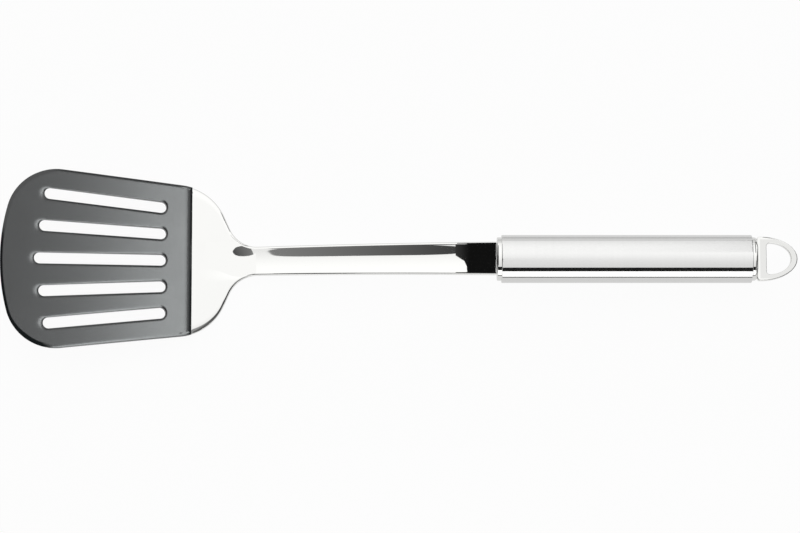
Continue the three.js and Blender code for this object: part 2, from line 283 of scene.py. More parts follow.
def closed_mesh(mesh):
    """Merges doubled points, turns faces outwards and shades them smooth between sharp edges."""
    shape = bmesh.new()
    shape.from_mesh(mesh)
    bmesh.ops.remove_doubles(shape, verts=shape.verts, dist=MERGE_DISTANCE)
    bmesh.ops.recalc_face_normals(shape, faces=shape.faces)
    for face in shape.faces:
        face.smooth = True
    shape.to_mesh(mesh)
    shape.free()
    mesh.set_sharp_from_angle(angle=SHARP_ANGLE)
    return mesh


def place_piece(name, mesh, material, node):
    """Puts a finished mesh in the scene in place of its CAD node."""
    mesh.name = name
    mesh.materials.clear()
    mesh.materials.append(material)
    piece = bpy.data.objects.new(name, mesh)
    bpy.context.scene.collection.objects.link(piece)
    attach(piece, "root")
    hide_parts(node)


def arc_points(centre, radius_x, radius_y, start, end, step):
    """Points of an arc with their outward normals, about a step apart."""
    count = max(2, math.ceil(max(radius_x, radius_y) * abs(end - start) / step))
    points = []
    for i in range(count + 1):
        turn = start + (end - start) * i / count
        point = Vector((centre[0] + radius_x * math.cos(turn), centre[1] + radius_y * math.sin(turn)))
        normal = Vector((math.cos(turn) / radius_x, math.sin(turn) / radius_y)).normalized()
        points.append((point, normal))
    return points


# Form of the bent steel sheet, which the blade sits on


class SheetForm:
    """Side view and flat outline of the bent sheet, measured from the front edge of the blade."""

    def __init__(self, blade, shank, handle):
        self.blade = blade
        self.shank = shank
        self.axis_height = handle.tube_diameter / 2
        rise = self.axis_height + shank.lift - shank.sheet / 2
        self.rise_angle = 2 * math.atan(rise / shank.run)
        self.long_radius = shank.run / math.sin(self.rise_angle) - shank.heel_radius
        self.heel_start = blade.length + shank.heel_flat
        self.heel_end = self.heel_start + shank.heel_radius * (blade.tilt + self.rise_angle)
        self.end = self.heel_end + self.long_radius * self.rise_angle
        side_start = Vector((0.0, self.side_half_width(0.0)))
        shoulder_along = blade.length + shank.shoulder_reach
        shoulder_corner = Vector((shoulder_along, self.side_half_width(shoulder_along)))
        neck_corner = Vector((blade.length + shank.neck_reach, shank.neck_width / 2))
        self.end_corner = Vector((self.end, shank.end_width / 2))
        self.shoulder = self.fillet(side_start, shoulder_corner, neck_corner, shank.shoulder_radius)
        self.neck = self.fillet(shoulder_corner, neck_corner, self.end_corner, shank.neck_radius)

    def side_half_width(self, along):
        return self.blade.front_width / 2 - along * math.tan(self.blade.side_taper)

    @staticmethod
    def fillet(before, corner, after, radius):
        """Centre, radius, start and end of the fillet between two straight runs."""
        arriving = (corner - before).normalized()
        leaving = (after - corner).normalized()
        turn = math.atan2(arriving.x * leaving.y - arriving.y * leaving.x, arriving.dot(leaving))
        reach = radius * math.tan(abs(turn) / 2)
        start = corner - arriving * reach
        inward = Vector((-arriving.y, arriving.x)) * math.copysign(1, turn)
        return start + inward * radius, radius, start, corner + leaving * reach

    @staticmethod
    def on_line(start, end, along):
        return start.y + (end.y - start.y) * (along - start.x) / (end.x - start.x)

    @staticmethod
    def on_arc(fillet, along, side):
        centre, radius = fillet[0], fillet[1]
        return centre.y + side * math.sqrt(max(radius ** 2 - (along - centre.x) ** 2, 0.0))

    def half_width(self, along):
        """Half the width of the flat outline: the side, the shoulder, the neck and the shank."""
        shoulder_start, shoulder_end = self.shoulder[2], self.shoulder[3]
        neck_start, neck_end = self.neck[2], self.neck[3]
        if along < shoulder_start.x:
            return self.side_half_width(along)
        if along < shoulder_end.x:
            return self.on_arc(self.shoulder, along, 1)
        if along < neck_start.x:
            return self.on_line(shoulder_end, neck_start, along)
        if along < neck_end.x:
            return self.on_arc(self.neck, along, -1)
        return self.on_line(neck_end, self.end_corner, along)

    def outline_cosine(self, along):
        change = self.half_width(along + SLOPE_STEP) - self.half_width(along - SLOPE_STEP)
        return 1 / math.hypot(1, change / (2 * SLOPE_STEP))

    def path(self, along):
        """Place and slope of the middle of the sheet: the blade, the heel, the shank and the tang."""
        tilt = self.blade.tilt
        radius = self.shank.heel_radius
        lowest = CAP_FACE_X - self.shank.run
        bottom = self.shank.sheet / 2
        top = self.axis_height + self.shank.lift
        if along < self.heel_start:
            back = self.heel_start - along
            x = lowest - radius * math.sin(tilt) - back * math.cos(tilt)
            return x, bottom + radius * (1 - math.cos(tilt)) + back * math.sin(tilt), -tilt
        if along < self.heel_end:
            slope = (along - self.heel_start) / radius - tilt
            return lowest + radius * math.sin(slope), bottom + radius * (1 - math.cos(slope)), slope
        if along < self.end:
            slope = (self.end - along) / self.long_radius
            x = CAP_FACE_X - self.long_radius * math.sin(slope)
            return x, top - self.long_radius * (1 - math.cos(slope)), slope
        return CAP_FACE_X + along - self.end, top, 0.0

    def channel(self, along, y):
        """How far the pressed channel lifts the sheet beside the middle line.

        The lift grows with the square of the distance, and levels out where the sheet is wider.
        """
        shank = self.shank
        begin = self.blade.length + shank.channel_start
        depth = shank.channel_depth * smoothstep(along, begin, begin + shank.channel_lead)
        share = abs(y) / min(self.half_width(along), shank.channel_width / 2)
        if share <= 1:
            return depth * share ** 2
        level = min((share - 1) / CHANNEL_BLEND, 1.0)
        return depth * (1 + CHANNEL_BLEND * (2 * level - level ** 2))


def sheet_form(context):
    scene = context.scene
    return SheetForm(scene.spatula_blade, scene.spatula_shank, scene.spatula_handle)


# Node trees of the plates


PLATE_SOCKETS = {"Float": ["Thickness", "Lower Drop", "Support"], "Int": ["Edge Steps"]}


def plate_tree():
    """Turns flat closed curves into a plate with rounded edges.

    The curves follow the border of the flat faces. Each of their points has a "rim" vector, which reaches
    from there to the outer edge, the "drop" of the upper rounding and its "bevel": 1 is an ellipse, and
    more is closer to a straight bevel.
    """
    tree, given = node_group("Rounded plate", {"Geometry": ["Curves"], **PLATE_SOCKETS}, "Plate")
    half = add_node(tree, "ShaderNodeMath", [given["Thickness"], 0.5], operation="MULTIPLY")

    # Edge profile, from the upper flat face over the rounding to the lower one: each half has the border of
    # the flat face, the start of the rounding and its steps
    count = add_node(tree, "ShaderNodeMath", [given["Edge Steps"], 2.0, 4.0], operation="MULTIPLY_ADD")
    index = add_node(tree, "GeometryNodeInputIndex")
    last = add_node(tree, "ShaderNodeMath", [count, 1.0], operation="SUBTRACT")
    mirrored = add_node(tree, "ShaderNodeMath", [last, index], operation="SUBTRACT")
    step = add_node(tree, "ShaderNodeMath", [index, mirrored], operation="MINIMUM")
    upper = add_node(tree, "ShaderNodeMath", [mirrored, index], operation="GREATER_THAN")
    profile = add_node(tree, "GeometryNodePoints", {"Count": count})
    for name, value in (("step", step), ("upper", upper)):
        profile = add_node(
            tree, "GeometryNodeStoreNamedAttribute", {"Geometry": profile, "Name": name, "Value": value},
            data_type="FLOAT", domain="POINT",
        )
    profile = add_node(tree, "GeometryNodePointsToCurves", {"Points": profile, "Weight": index})

    # Walls, swept along the curves
    place = add_node(tree, "GeometryNodeInputPosition")
    base = add_node(
        tree, "GeometryNodeStoreNamedAttribute",
        {"Geometry": given["Curves"], "Name": "base", "Value": place},
        data_type="FLOAT_VECTOR", domain="POINT",
    )
    walls = add_node(tree, "GeometryNodeCurveToMesh", {"Curve": base, "Profile Curve": profile})
    stored = {}
    for name, kind in (
        ("base", "FLOAT_VECTOR"), ("rim", "FLOAT_VECTOR"), ("drop", "FLOAT"), ("bevel", "FLOAT"),
        ("step", "FLOAT"), ("upper", "FLOAT"),
    ):
        stored[name] = add_node(tree, "GeometryNodeInputNamedAttribute", {"Name": name}, data_type=kind)

    # Rounding: how far a wall point stands out along its rim, and its height
    round_step = add_node(tree, "ShaderNodeMath", [stored["step"], 1.0], operation="SUBTRACT")
    round_step = add_node(tree, "ShaderNodeMath", [round_step, 0.0], operation="MAXIMUM")
    round_share = add_node(tree, "ShaderNodeMath", [round_step, given["Edge Steps"]], operation="DIVIDE")
    turn = add_node(tree, "ShaderNodeMath", [round_share, QUARTER_TURN], operation="MULTIPLY")
    sine = add_node(tree, "ShaderNodeMath", [turn], operation="SINE")
    cosine = add_node(tree, "ShaderNodeMath", [turn], operation="COSINE", use_clamp=True)
    sine = add_node(tree, "ShaderNodeMath", [sine, stored["bevel"]], operation="POWER")
    cosine = add_node(tree, "ShaderNodeMath", [cosine, stored["bevel"]], operation="POWER")
    past_support = add_node(tree, "ShaderNodeMath", [stored["step"], 0.5], operation="GREATER_THAN")
    support = add_node(tree, "ShaderNodeMath", [past_support, given["Support"]], operation="MULTIPLY")
    rounding = add_node(tree, "ShaderNodeMath", [1.0, given["Support"]], operation="SUBTRACT")
    across = add_node(tree, "ShaderNodeMath", [sine, rounding, support], operation="MULTIPLY_ADD")
    extra = add_node(tree, "ShaderNodeMath", [stored["drop"], given["Lower Drop"]], operation="SUBTRACT")
    drop = add_node(
        tree, "ShaderNodeMath", [stored["upper"], extra, given["Lower Drop"]], operation="MULTIPLY_ADD"
    )
    straight = add_node(tree, "ShaderNodeMath", [half, drop], operation="SUBTRACT")
    height = add_node(tree, "ShaderNodeMath", [drop, cosine, straight], operation="MULTIPLY_ADD")
    side = add_node(tree, "ShaderNodeMath", [stored["upper"], 2.0, -1.0], operation="MULTIPLY_ADD")
    height = add_node(tree, "ShaderNodeMath", [height, side], operation="MULTIPLY")
    pushed = add_node(tree, "ShaderNodeVectorMath", {0: stored["rim"], "Scale": across}, operation="SCALE")
    raised = add_node(tree, "ShaderNodeCombineXYZ", {"Z": height})
    spot = add_node(tree, "ShaderNodeVectorMath", [stored["base"], pushed], operation="ADD")
    spot = add_node(tree, "ShaderNodeVectorMath", [spot, raised], operation="ADD")
    walls = add_node(tree, "GeometryNodeSetPosition", {"Geometry": walls, "Position": spot})

    # Flat faces
    face = add_node(tree, "GeometryNodeFillCurve", {"Curve": given["Curves"]}, mode="TRIANGLES")
    lower_half = add_node(tree, "ShaderNodeMath", [half, -1.0], operation="MULTIPLY")
    upper_place = add_node(tree, "ShaderNodeCombineXYZ", {"Z": half})
    lower_place = add_node(tree, "ShaderNodeCombineXYZ", {"Z": lower_half})
    top = add_node(tree, "GeometryNodeTransform", {"Geometry": face, "Translation": upper_place})
    bottom = add_node(tree, "GeometryNodeTransform", {"Geometry": face, "Translation": lower_place})
    bottom = add_node(tree, "GeometryNodeFlipFaces", {"Mesh": bottom})
    joined = add_node(tree, "GeometryNodeJoinGeometry")
    for surface in (walls, top, bottom):
        tree.links.new(surface.outputs[0], joined.inputs[0])
    merged = add_node(tree, "GeometryNodeMergeByDistance", {"Geometry": joined, "Distance": MERGE_DISTANCE})
    add_node(tree, "NodeGroupOutput", {"Plate": merged})
    return tree


def plate_body(tree, plate, curves, given):
    """Adds the plate's tree as a group, with its inputs passed on."""
    passed = {name: given[name] for names in PLATE_SOCKETS.values() for name in names}
    return add_node(tree, "GeometryNodeGroup", {"Curves": curves, **passed}, node_tree=plate)


def slotted_plate_tree(plate):
    """Cuts fanned slots into an outline and makes a flat plate of it."""
    sockets = {
        "Geometry": ["Outline"],
        "Int": ["Slot Count", "Slot Points", *PLATE_SOCKETS["Int"]],
        "Float": [
            "Slot Radius", "Slot Fan", "Slot Pitch", "Slot Root", "Slot Front", "Slot Front Step",
            "Slot Rim", "Slot Front Rim", "Slot Root Rim", "Slot Drop", "Point Spacing",
            *PLATE_SOCKETS["Float"],
        ],
        "Material": ["Material"],
    }
    tree, given = node_group("Slotted plate", sockets, "Plate")

    # Which slot a point belongs to, and where it is round that slot
    total = add_node(
        tree, "ShaderNodeMath", [given["Slot Count"], given["Slot Points"]], operation="MULTIPLY"
    )
    index = add_node(tree, "GeometryNodeInputIndex")
    slot = add_node(tree, "ShaderNodeMath", [index, given["Slot Points"]], operation="DIVIDE")
    slot = add_node(tree, "ShaderNodeMath", [slot], operation="FLOOR")
    step = add_node(tree, "ShaderNodeMath", [index, given["Slot Points"]], operation="MODULO")
    half = add_node(tree, "ShaderNodeMath", [given["Slot Points"], 0.5], operation="MULTIPLY")
    early = add_node(tree, "ShaderNodeMath", [half, 0.5], operation="SUBTRACT")
    at_root = add_node(tree, "ShaderNodeMath", [step, early], operation="GREATER_THAN")
    half_step = add_node(tree, "ShaderNodeMath", [step, half], operation="MODULO")
    half_last = add_node(tree, "ShaderNodeMath", [half, 1.0], operation="SUBTRACT")
    share = add_node(tree, "ShaderNodeMath", [half_step, half_last], operation="DIVIDE")

    # Each slot's place across the blade and its angle
    outermost = add_node(
        tree, "ShaderNodeMath", [given["Slot Count"], 0.5, -0.5], operation="MULTIPLY_ADD"
    )
    place = add_node(tree, "ShaderNodeMath", [slot, outermost], operation="SUBTRACT")
    fan_share = add_node(tree, "ShaderNodeMath", [place, outermost], operation="DIVIDE")
    fan = add_node(tree, "ShaderNodeMath", [fan_share, given["Slot Fan"]], operation="MULTIPLY")
    away = add_node(tree, "ShaderNodeMath", [place], operation="ABSOLUTE")
    front = add_node(
        tree, "ShaderNodeMath", [away, given["Slot Front Step"], given["Slot Front"]],
        operation="MULTIPLY_ADD",
    )
    run = add_node(tree, "ShaderNodeMath", [given["Slot Root"], front], operation="SUBTRACT")
    centre_x = add_node(tree, "ShaderNodeMath", [at_root, run, front], operation="MULTIPLY_ADD")
    back = add_node(tree, "ShaderNodeMath", [given["Slot Root"], centre_x], operation="SUBTRACT")
    tangent = add_node(tree, "ShaderNodeMath", [fan], operation="TANGENT")
    spread = add_node(tree, "ShaderNodeMath", [back, tangent], operation="MULTIPLY")
    centre_y = add_node(
        tree, "ShaderNodeMath", [place, given["Slot Pitch"], spread], operation="MULTIPLY_ADD"
    )
    centre = add_node(tree, "ShaderNodeCombineXYZ", {"X": centre_x, "Y": centre_y})

    # Points round the two ends, and the rim that leads from there into the slot
    turn = add_node(tree, "ShaderNodeMath", [share, at_root], operation="ADD")
    turn = add_node(tree, "ShaderNodeMath", [turn, HALF_TURN, QUARTER_TURN], operation="MULTIPLY_ADD")
    turn = add_node(tree, "ShaderNodeMath", [turn, fan], operation="SUBTRACT")
    cosine = add_node(tree, "ShaderNodeMath", [turn], operation="COSINE")
    sine = add_node(tree, "ShaderNodeMath", [turn], operation="SINE")
    spoke = add_node(tree, "ShaderNodeCombineXYZ", {"X": cosine, "Y": sine})
    width = given["Slot Rim"]
    for end, direction in (("Slot Front Rim", -1.0), ("Slot Root Rim", 1.0)):
        facing = add_node(
            tree, "ShaderNodeMath", [cosine, direction], operation="MULTIPLY", use_clamp=True
        )
        facing = add_node(tree, "ShaderNodeMath", [facing, 2.0], operation="POWER")
        change = add_node(tree, "ShaderNodeMath", [given[end], given["Slot Rim"]], operation="SUBTRACT")
        width = add_node(tree, "ShaderNodeMath", [facing, change, width], operation="MULTIPLY_ADD")
    border = add_node(tree, "ShaderNodeMath", [given["Slot Radius"], width], operation="ADD")
    reach = add_node(tree, "ShaderNodeVectorMath", {0: spoke, "Scale": border}, operation="SCALE")
    spot = add_node(tree, "ShaderNodeVectorMath", [centre, reach], operation="ADD")
    inward = add_node(tree, "ShaderNodeMath", [width, -1.0], operation="MULTIPLY")
    rim = add_node(tree, "ShaderNodeVectorMath", {0: spoke, "Scale": inward}, operation="SCALE")
    slots = add_node(tree, "GeometryNodePoints", {"Count": total, "Position": spot})
    for name, value, kind in (
        ("rim", rim, "FLOAT_VECTOR"), ("drop", given["Slot Drop"], "FLOAT"), ("bevel", 1.0, "FLOAT"),
    ):
        slots = add_node(
            tree, "GeometryNodeStoreNamedAttribute", {"Geometry": slots, "Name": name, "Value": value},
            data_type=kind, domain="POINT",
        )
    slots = add_node(
        tree, "GeometryNodePointsToCurves", {"Points": slots, "Curve Group ID": slot, "Weight": index}
    )
    slots = add_node(tree, "GeometryNodeSetSplineCyclic", {"Geometry": slots, "Cyclic": True})
    slots = add_node(
        tree, "GeometryNodeResampleCurve", {"Curve": slots, "Length": given["Point Spacing"]}, mode="LENGTH"
    )

    # Plate with the slots in it
    outline = add_node(tree, "GeometryNodeMeshToCurve", {"Mesh": given["Outline"]})
    curves = add_node(tree, "GeometryNodeJoinGeometry")
    tree.links.new(outline.outputs[0], curves.inputs[0])
    tree.links.new(slots.outputs[0], curves.inputs[0])
    finish_group(tree, plate_body(tree, plate, curves, given), given, "Plate")
    return tree


def loop_tree(plate):
    """Makes the hanging loop from its outline and its hole."""
    sockets = {"Geometry": ["Outlines"], **PLATE_SOCKETS, "Vector": ["Place"], "Material": ["Material"]}
    tree, given = node_group("Hanging loop", sockets, "Loop")
    curves = add_node(tree, "GeometryNodeMeshToCurve", {"Mesh": given["Outlines"]})
    body = plate_body(tree, plate, curves, given)
    placed = add_node(tree, "GeometryNodeTransform", {"Geometry": body, "Translation": given["Place"]})
    finish_group(tree, placed, given, "Loop")
    return tree


def rim_wire(name, loops):
    """Wire mesh of closed loops; each point has its outer place, its rim vector, its drop and its bevel."""
    points, edges, rims, drops, bevels = [], [], [], [], []
    for loop in loops:
        first = len(points)
        for outer, rim, drop, bevel in loop:
            points.append((outer.x - rim.x, outer.y - rim.y, 0.0))
            rims.extend((rim.x, rim.y, 0.0))
            drops.append(drop)
            bevels.append(bevel)
        edges.extend((first + i, first + (i + 1) % len(loop)) for i in range(len(loop)))
    mesh = new_mesh(name, points, [], edges)
    mesh.attributes.new("rim", "FLOAT_VECTOR", "POINT").data.foreach_set("vector", rims)
    mesh.attributes.new("drop", "FLOAT", "POINT").data.foreach_set("value", drops)
    mesh.attributes.new("bevel", "FLOAT", "POINT").data.foreach_set("value", bevels)
    return mesh


def grown_mesh(name, wire, tree, values):
    """Runs a node tree on a wire mesh and returns the result as a plain mesh."""
    grower = bpy.data.objects.new(name, wire)
    bpy.context.scene.collection.objects.link(grower)
    modifier = grower.modifiers.new(tree.name, "NODES")
    modifier.node_group = tree
    for item in tree.interface.items_tree:
        if item.in_out == "INPUT" and item.name in values:
            modifier[item.identifier] = values[item.name]
    depsgraph = bpy.context.evaluated_depsgraph_get()
    mesh = bpy.data.meshes.new_from_object(grower.evaluated_get(depsgraph))
    grower.modifiers.remove(modifier)
    bpy.data.objects.remove(grower)
    if not mesh.polygons:
        raise RuntimeError(f"{name}: the node tree made no faces")
    return mesh


def corner_rim(normal_a, reach_a, normal_b, reach_b):
    """Rim vector at a sharp corner, where two edges with their own rims meet."""
    determinant = normal_a.x * normal_b.y - normal_a.y * normal_b.x
    x = (reach_a * normal_b.y - reach_b * normal_a.y) / determinant
    y = (normal_a.x * reach_b - normal_b.x * reach_a) / determinant
    return Vector((x, y))


def mirrored_rims(points):
    """The same outline points with their rims on the other side, in the order that goes on round."""
    return [(Vector((p.x, -p.y)), Vector((r.x, -r.y)), *rest) for p, r, *rest in reversed(points)]


def straight_points(start, end, step):
    """Points between two places, without the ends."""
    count = max(1, math.ceil((end - start).length / step))
    return [start.lerp(end, i / count) for i in range(1, count)]


# Lathe-turned pieces


def turned_mesh(name, profile, axis_x, axis_z):
    """Turns a closed profile of (distance along, radius) points round the handle's middle line.

    The UV map runs along the axis and round it, so that a finish can follow the turning.
    """
    points, faces = [], []
    ring = len(profile)
    for i in range(ROUND_STEPS):
        turn = 2 * HALF_TURN * i / ROUND_STEPS
        for along, radius in profile:
            points.append((axis_x + along, radius * math.cos(turn), axis_z + radius * math.sin(turn)))
    for i in range(ROUND_STEPS):
        here = i * ring
        there = (i + 1) % ROUND_STEPS * ring
        for j in range(ring):
            following = (j + 1) % ring
            faces.append((here + j, there + j, there + following, here + following))
    mesh = new_mesh(name, points, faces)
    map_along(mesh, axis_z)
    return closed_mesh(mesh)


def map_along(mesh, axis_z):
    """UV map in metres: U along the handle, V round it."""
    layer = mesh.uv_layers.new(name="along")
    for face in mesh.polygons:
        turns = []
        for corner in face.loop_indices:
            place = mesh.vertices[mesh.loops[corner].vertex_index].co
            turns.append(math.atan2(place.z - axis_z, place.y))
        for corner, turn in zip(face.loop_indices, turns):
            place = mesh.vertices[mesh.loops[corner].vertex_index].co
            if turns[0] - turn > HALF_TURN:
                turn += 2 * HALF_TURN
            elif turn - turns[0] > HALF_TURN:
                turn -= 2 * HALF_TURN
            layer.data[corner].uv = (place.x, turn * UV_RADIUS)


def rounded_corner(along, radius, size, start):
    """Points of a quarter round between two faces of a turned profile."""
    return [
        (along + size * math.cos(start + QUARTER_TURN * i / EDGE_STEPS),
         radius + size * math.sin(start + QUARTER_TURN * i / EDGE_STEPS))
        for i in range(EDGE_STEPS + 1)
    ]


# Materials


def new_material(name):
    material = bpy.data.materials.new(name)
    material.use_nodes = True
    material.node_tree.nodes.clear()
    return material, material.node_tree


def nylon_material(finish):
    """Polyamide 66, filled dark grey and moulded in a smooth tool.

    It gives a soft gloss with faint clouds of tone, a very fine tool grain and a glossier front lip.
    """
    material, tree = new_material("moulded polyamide 66")
    place = add_node(tree, "ShaderNodeTexCoord").outputs["Object"]
    # Clouds of filler
    cloud_size = 9 * MM
    cloud = add_node(tree, "ShaderNodeTexNoise", {"Vector": place, "Scale": 1 / cloud_size, "Detail": 3.0})
    tint = add_node(
        tree, "ShaderNodeMix", {"Factor": cloud, "A": finish.nylon[:], "B": finish.nylon_pale[:]},
        data_type="RGBA",
    )
    # Tool grain, which shows as an even satin at this distance
    grain_size = 0.25 * MM
    grain = add_node(tree, "ShaderNodeTexNoise", {"Vector": place, "Scale": 1 / grain_size, "Detail": 2.0})
    bump = add_node(tree, "ShaderNodeBump", {"Height": grain, "Strength": 0.12, "Distance": 0.01 * MM})
    rough = add_node(tree, "ShaderNodeMapRange", {"Value": cloud, "To Min": 0.2, "To Max": 0.24})
    # The bevelled lip is glossier, worn smooth against pans
    lip = add_node(tree, "ShaderNodeAttribute", attribute_name="bevel")
    gloss = add_node(
        tree, "ShaderNodeMapRange",
        {"Value": lip.outputs["Fac"], "From Min": 1.0, "From Max": LIP_BEVEL, "To Max": 0.12},
    )
    rough = add_node(tree, "ShaderNodeMath", [rough, gloss], operation="SUBTRACT")
    # The IOR is above plain nylon's 1.53, matched to the gloss of the real blade
    shader = add_node(
        tree, "ShaderNodeBsdfPrincipled",
        {"Base Color": tint.outputs["Result"], "Roughness": rough, "IOR": 1.65, "Normal": bump},
    )
    add_node(tree, "ShaderNodeOutputMaterial", {"Surface": shader})
    return material


def polished_steel_material(finish):
    """Stainless steel 18/10, stamped and mirror polished on a wheel.

    It gives clear reflections with a trace of haze, and faint polishing lines along the part. The pieces
    that are polished share it.
    """
    name = "mirror-polished stainless steel"
    if name in bpy.data.materials:
        return bpy.data.materials[name]
    material, tree = new_material(name)
    place = add_node(tree, "ShaderNodeTexCoord").outputs["Object"]
    # Polishing lines run along the part, coarser than real so that they show
    line_length, line_gap = 30 * MM, 0.5 * MM
    stretched = add_node(
        tree, "ShaderNodeMapping",
        {"Vector": place, "Scale": (1 / line_length, 1 / line_gap, 1 / line_gap)},
    )
    lines = add_node(tree, "ShaderNodeTexNoise", {"Vector": stretched, "Scale": 1.0, "Detail": 2.0})
    rough = add_node(tree, "ShaderNodeMapRange", {"Value": lines, "To Min": 0.02, "To Max": 0.04})
    bump = add_node(tree, "ShaderNodeBump", {"Height": lines, "Strength": 0.005, "Distance": 0.01 * MM})
    shader = add_node(
        tree, "ShaderNodeBsdfPrincipled",
        {"Base Color": finish.polished[:], "Metallic": 1.0, "Roughness": rough, "Normal": bump},
    )
    add_node(tree, "ShaderNodeOutputMaterial", {"Surface": shader})
    return material


def satin_steel_material(finish):
    """Stainless steel tube, satin finished by turning it against a fine belt.

    The fine lines run round the tube, so that reflections smear along it and stay sharp round it.
    """
    material, tree = new_material("satin stainless steel tube")
    place = add_node(tree, "ShaderNodeTexCoord").outputs["UV"]
    # Belt lines run round the tube, coarser than real so that they show
    line_gap, line_length = 0.3 * MM, 25 * MM
    stretched = add_node(
        tree, "ShaderNodeMapping", {"Vector": place, "Scale": (1 / line_gap, 1 / line_length, 1.0)}
    )
    lines = add_node(tree, "ShaderNodeTexNoise", {"Vector": stretched, "Scale": 1.0, "Detail": 3.0})
    tint = add_node(
        tree, "ShaderNodeMix", {"Factor": lines, "A": finish.satin_line[:], "B": finish.satin[:]},
        data_type="RGBA",
    )
    rough = add_node(tree, "ShaderNodeMapRange", {"Value": lines, "To Min": 0.07, "To Max": 0.1})
    tangent = add_node(tree, "ShaderNodeTangent", direction_type="UV_MAP", uv_map="along")
    shader = add_node(
        tree, "ShaderNodeBsdfPrincipled",
        {
            "Base Color": tint.outputs["Result"], "Metallic": 1.0, "Roughness": rough,
            "Anisotropic": 0.9, "Tangent": tangent,
        },
    )
    add_node(tree, "ShaderNodeOutputMaterial", {"Surface": shader})
    return material


# Operators


